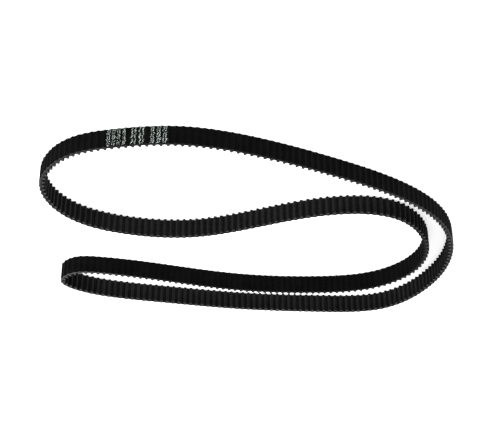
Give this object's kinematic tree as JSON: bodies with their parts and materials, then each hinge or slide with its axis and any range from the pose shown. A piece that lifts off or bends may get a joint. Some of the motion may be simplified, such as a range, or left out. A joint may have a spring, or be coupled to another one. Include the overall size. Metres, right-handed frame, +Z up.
{
  "type": "timing belt",
  "caption": "Endless black rubber timing belt with round teeth inside and a smooth printed back, bent freely and standing on one cut edge.",
  "frame": {"origin": "middle of the belt's outline as it lies, on the surface that its lower cut edge stands on", "axes": "+Z up across the belt's width, parallel to both cut edges' normals; +X along the long way of the bent loop, towards its tight hairpin end; +Y towards the rear strand"},
  "size_m": [0.1898, 0.1496, 0.009],
  "materials": {
    "back_rubber": "matte black chloroprene rubber, finely ground",
    "tooth_rubber": "matte black chloroprene rubber, cut and slightly dusty at the edges",
    "facing_fabric": "black stretch nylon twill, rubber-coated, dull sheen",
    "glass_cord": "twisted glass-fibre cord, adhesive-coated",
    "print_ink": "pale grey-green stamped ink, thin and uneven"
  },
  "bodies": {
    "root": {"back_rubber": "back_rubber", "tension_cord_s": "glass_cord", "tension_cord_z": "glass_cord", "tooth_rubber": "tooth_rubber", "tooth_facing": "facing_fabric", "print_a_low": "print_ink", "print_a_mid": "print_ink", "print_a_high": "print_ink", "print_b_low": "print_ink", "print_b_mid": "print_ink", "print_b_high": "print_ink", "print_c_low": "print_ink", "print_c_mid": "print_ink", "print_c_high": "print_ink"}
  },
  "joints": []
}
